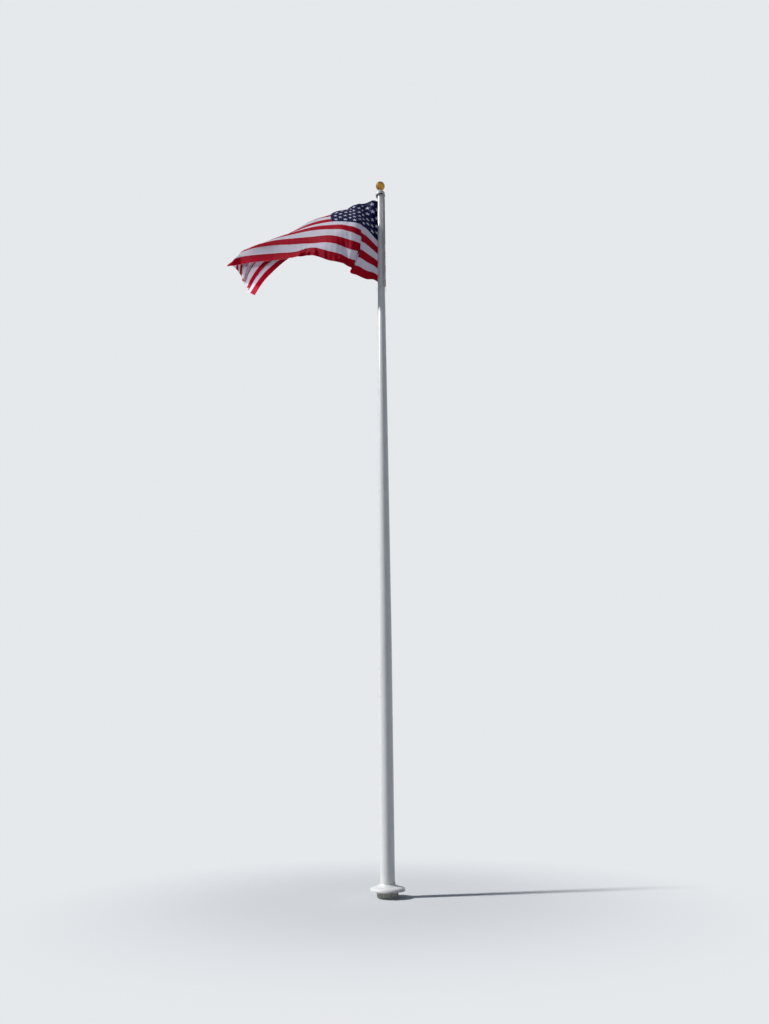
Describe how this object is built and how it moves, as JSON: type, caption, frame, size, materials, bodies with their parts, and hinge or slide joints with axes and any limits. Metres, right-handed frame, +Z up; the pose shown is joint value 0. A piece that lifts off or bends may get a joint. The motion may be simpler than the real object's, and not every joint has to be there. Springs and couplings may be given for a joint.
{
  "type": "ground-set flagpole with flag",
  "caption": "White tapered fibreglass flagpole in a concrete footing, with a spun base collar, revolving truck, gold ball finial and a stars-and-stripes flag streaming from its hoist.",
  "frame": {"origin": "centre of the footing's underside, at ground level", "axes": "+Z up the shaft; -Y towards the pictured side; the flag streams towards -X"},
  "size_m": [2.7403, 0.9152, 10.916],
  "materials": {
    "shaft_gelcoat": "gloss white gelcoat on fibreglass, slight ripple, soil splash near the foot",
    "footing_concrete": "rough broken concrete, grey-beige",
    "sleeve_zinc": "galvanised steel, dull",
    "packing_grout": "sand and cement packing, matt",
    "collar_paint": "white enamel on spun aluminium",
    "sealant": "white sealant, satin",
    "door_paint": "white enamel on cast aluminium",
    "lock_steel": "satin stainless steel",
    "truck_casting": "sand-cast aluminium, matt",
    "cap_paint": "white enamel on cast aluminium, weathered",
    "bearing_bronze": "plain bearing bronze, oiled",
    "sheave_nylon": "moulded nylon, dark grey",
    "bolt_steel": "stainless steel, satin",
    "gold_anodised": "gold anodised spun aluminium, polished",
    "halyard_rope": "braided white rope",
    "snap_metal": "nickel plated, bright",
    "header_canvas": "white duck canvas, stitched",
    "grommet_brass": "rolled brass",
    "loop_coating": "white vinyl on wire",
    "flag_nylon": "dyed nylon cloth, light sheen"
  },
  "bodies": {
    "pole": {"footing_stub": "footing_concrete", "ground_sleeve": "sleeve_zinc", "grout_ring": "packing_grout", "pole_shaft": "shaft_gelcoat", "door_frame": "door_paint", "access_door": "door_paint", "door_lock": "lock_steel", "door_hinge": "lock_steel", "base_collar": "collar_paint", "collar_seal": "sealant", "truck_spindle": "truck_casting", "thrust_washer": "bearing_bronze"},
    "truck": {"truck_frame": "truck_casting", "truck_sheave": "sheave_nylon", "sheave_pin": "bolt_steel", "truck_cap": "cap_paint", "finial_stem": "bolt_steel", "stem_nut": "bolt_steel", "ball_finial": "gold_anodised", "halyard": "halyard_rope", "flag_snaps": "snap_metal", "flag_header": "header_canvas", "flag_grommets": "grommet_brass", "retainer_loop": "loop_coating", "flag": "flag_nylon"}
  },
  "joints": [
    {"name": "truck_spin", "type": "hinge", "parent": "pole", "child": "truck", "pos_m": [0, 0, 10.633], "axis": [0, 0, 1], "continuous": true}
  ]
}
